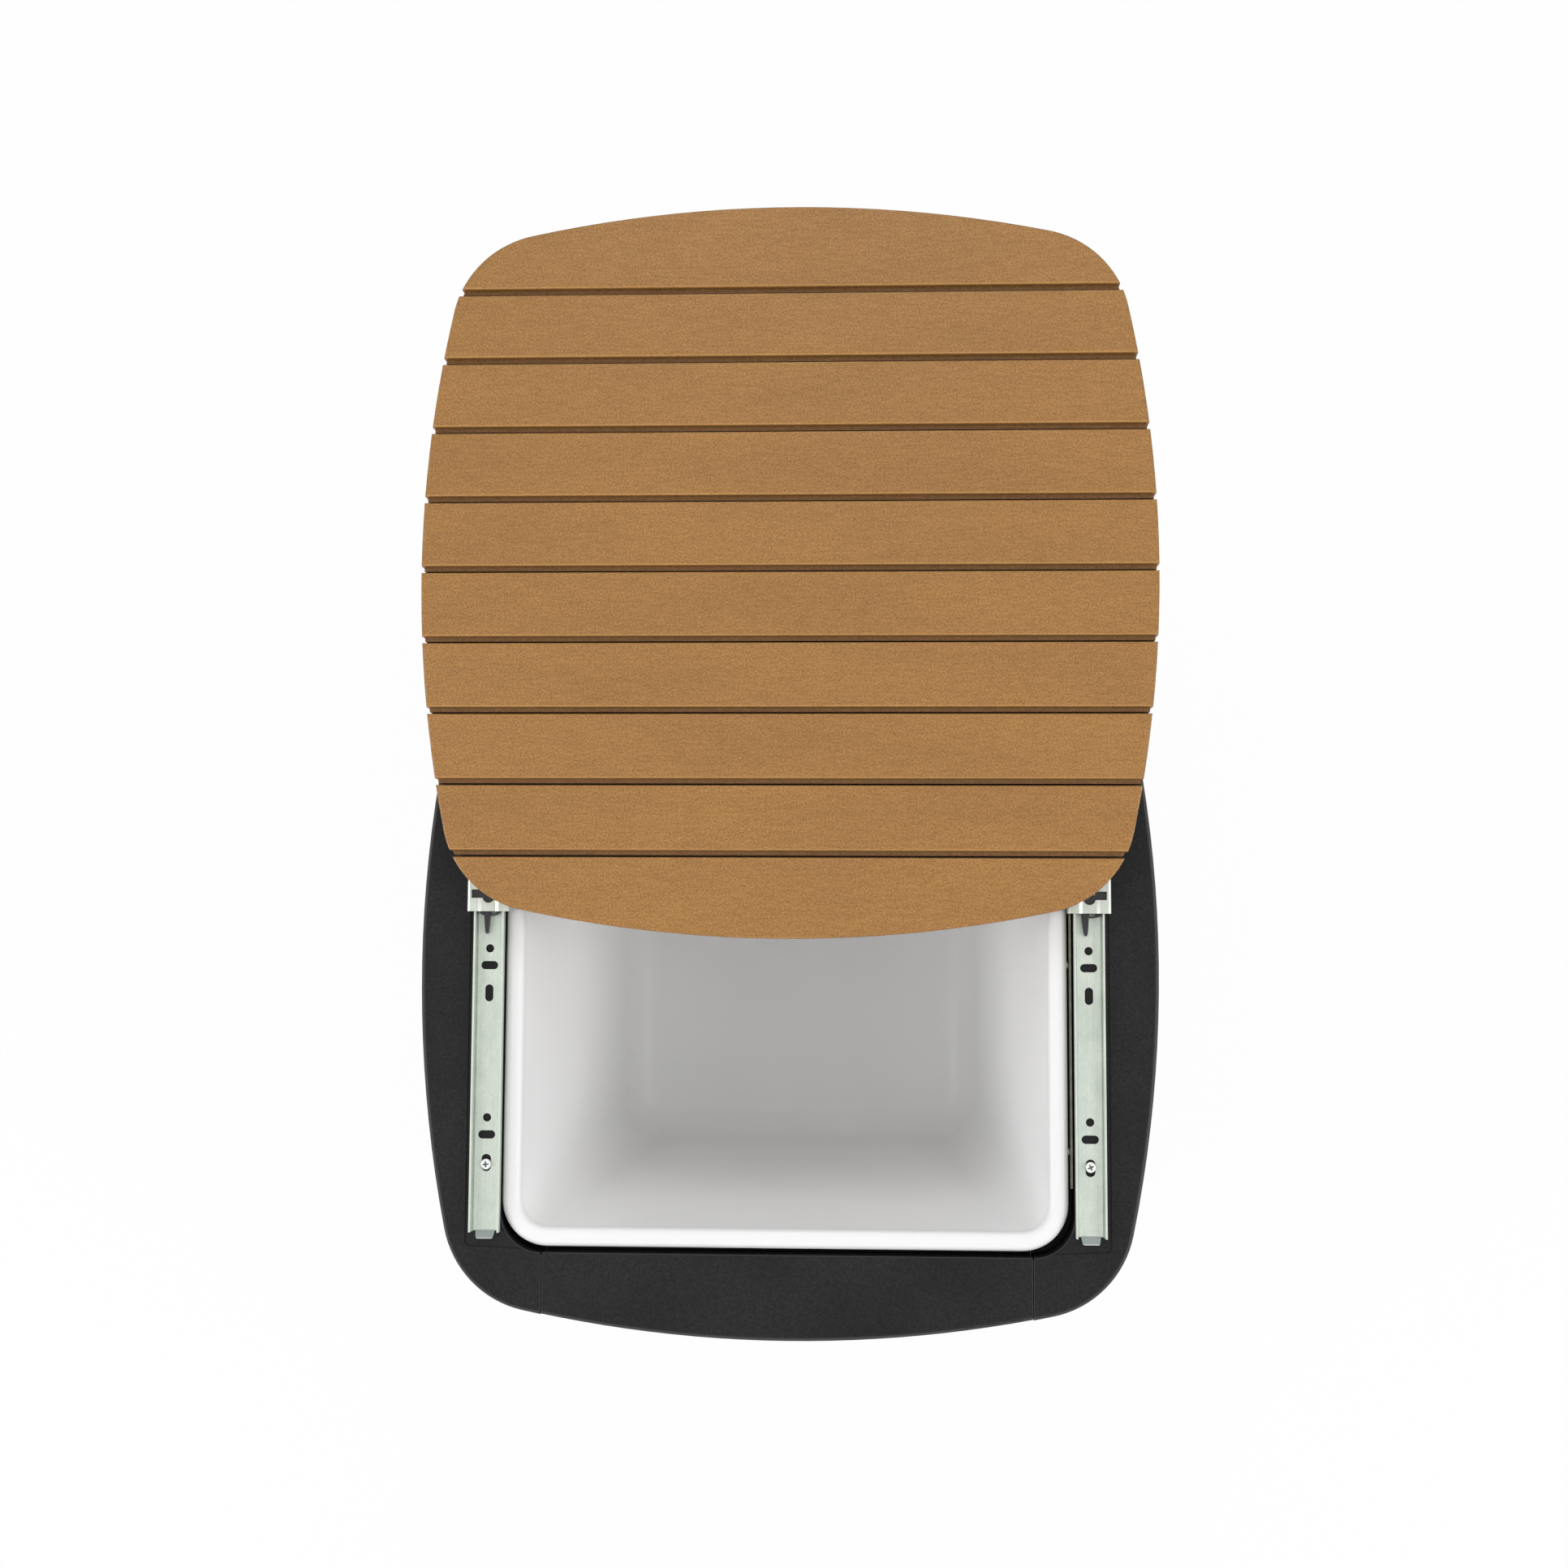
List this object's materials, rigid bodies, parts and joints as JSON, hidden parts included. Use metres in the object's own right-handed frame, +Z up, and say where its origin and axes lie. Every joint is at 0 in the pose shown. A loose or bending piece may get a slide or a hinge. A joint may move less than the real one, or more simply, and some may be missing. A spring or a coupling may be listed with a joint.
{
  "type": "ice bucket coffee table",
  "caption": "Square patio side table whose slatted top slides back on ball slides and opens a deep ice bin hung in its moulded base.",
  "frame": {"origin": "on the floor, midway between the base's front edge and the slid-back top's rear edge, on the line midway between the two slides", "axes": "+Z up, +Y the way the top slides open, +X to the right of a person who stands at the bin's side and looks along +Y"},
  "size_m": [0.4392, 0.6744, 0.45],
  "materials": {
    "wood_look_plastic": "brushed wood-look plastic with a fine grain along the planks",
    "black_moulded_plastic": "fine matt texture",
    "white_moulded_plastic": "gloss",
    "zinc_plated_steel": "pale zinc plating",
    "cage_steel": "plain rolled strip",
    "ball_steel": "polished",
    "black_lever_plastic": "smooth satin",
    "strip_steel": "warm-toned rolled strip",
    "screw_steel": "bright zinc plating",
    "batten_aluminium": "extruded, satin",
    "glide_rubber": "matt"
  },
  "bodies": {
    "base": {"ice_bin": "white_moulded_plastic", "inner_rail_left": "zinc_plated_steel", "inner_rail_right": "zinc_plated_steel", "inner_rail_screws": "screw_steel", "joint_plate_screws": "screw_steel", "joint_plates": "zinc_plated_steel", "leg_back_left": "black_moulded_plastic", "leg_back_right": "black_moulded_plastic", "leg_front_left": "black_moulded_plastic", "leg_front_right": "black_moulded_plastic", "leg_glides": "glide_rubber", "leg_screws": "screw_steel", "lever_housing_left": "black_lever_plastic", "lever_housing_right": "black_lever_plastic", "lever_rivets": "screw_steel", "panel_back": "black_moulded_plastic", "panel_front": "black_moulded_plastic", "panel_left": "black_moulded_plastic", "panel_right": "black_moulded_plastic", "panel_screws": "screw_steel", "rim_back": "black_moulded_plastic", "rim_front": "black_moulded_plastic", "rim_left": "black_moulded_plastic", "rim_right": "black_moulded_plastic", "side_strip_right": "strip_steel", "side_strip_screws": "screw_steel"},
    "top": {"batten_left": "batten_aluminium", "batten_middle": "batten_aluminium", "batten_right": "batten_aluminium", "batten_screws": "screw_steel", "outer_rail_left": "zinc_plated_steel", "outer_rail_right": "zinc_plated_steel", "outer_rail_screws": "screw_steel", "plank_01": "wood_look_plastic", "plank_02": "wood_look_plastic", "plank_03": "wood_look_plastic", "plank_04": "wood_look_plastic", "plank_05": "wood_look_plastic", "plank_06": "wood_look_plastic", "plank_07": "wood_look_plastic", "plank_08": "wood_look_plastic", "plank_09": "wood_look_plastic", "plank_10": "wood_look_plastic"},
    "middle_rail_left": {"middle_rail_left": "zinc_plated_steel"},
    "inner_cage_left": {"inner_ball_cage_left": "cage_steel", "inner_balls_left": "ball_steel"},
    "outer_cage_left": {"outer_ball_cage_left": "cage_steel", "outer_balls_left": "ball_steel"},
    "lever_left": {"release_lever_left": "black_lever_plastic"},
    "middle_rail_right": {"middle_rail_right": "zinc_plated_steel"},
    "inner_cage_right": {"inner_ball_cage_right": "cage_steel", "inner_balls_right": "ball_steel"},
    "outer_cage_right": {"outer_ball_cage_right": "cage_steel", "outer_balls_right": "ball_steel"},
    "lever_right": {"release_lever_right": "black_lever_plastic"}
  },
  "joints": [
    {"name": "rail_stage_left", "type": "slide", "parent": "base", "child": "middle_rail_left", "axis": [0, 1, 0], "range_m": [-0.188, 0]},
    {"name": "rail_stage_right", "type": "slide", "parent": "base", "child": "middle_rail_right", "axis": [0, 1, 0], "range_m": [-0.188, 0]},
    {"name": "top_stage", "type": "slide", "parent": "middle_rail_left", "child": "top", "axis": [0, 1, 0], "range_m": [-0.0464, 0.06]},
    {"name": "inner_cage_roll_left", "type": "slide", "parent": "base", "child": "inner_cage_left", "axis": [0, 1, 0], "range_m": [-0.094, 0]},
    {"name": "inner_cage_roll_right", "type": "slide", "parent": "base", "child": "inner_cage_right", "axis": [0, 1, 0], "range_m": [-0.094, 0]},
    {"name": "outer_cage_roll_left", "type": "slide", "parent": "middle_rail_left", "child": "outer_cage_left", "axis": [0, 1, 0], "range_m": [-0.0232, 0.03]},
    {"name": "outer_cage_roll_right", "type": "slide", "parent": "middle_rail_right", "child": "outer_cage_right", "axis": [0, 1, 0], "range_m": [-0.0232, 0.03]},
    {"name": "release_lever_left", "type": "hinge", "parent": "base", "child": "lever_left", "pos_m": [-0.178, -0.0537, 0.4274], "axis": [0, 0, 1], "range_deg": [-2.3, 2.3], "stiffness_Nm_per_rad": 0.05},
    {"name": "release_lever_right", "type": "hinge", "parent": "base", "child": "lever_right", "pos_m": [0.178, -0.0537, 0.4274], "axis": [0, 0, 1], "range_deg": [-3, 0.4], "stiffness_Nm_per_rad": 0.05}
  ],
  "couplings": [
    {"joint": "rail_stage_right", "follows": "rail_stage_left", "ratio": 1},
    {"joint": "inner_cage_roll_left", "follows": "rail_stage_left", "ratio": 0.5},
    {"joint": "inner_cage_roll_right", "follows": "rail_stage_left", "ratio": 0.5},
    {"joint": "outer_cage_roll_left", "follows": "top_stage", "ratio": 0.5},
    {"joint": "outer_cage_roll_right", "follows": "top_stage", "ratio": 0.5}
  ]
}
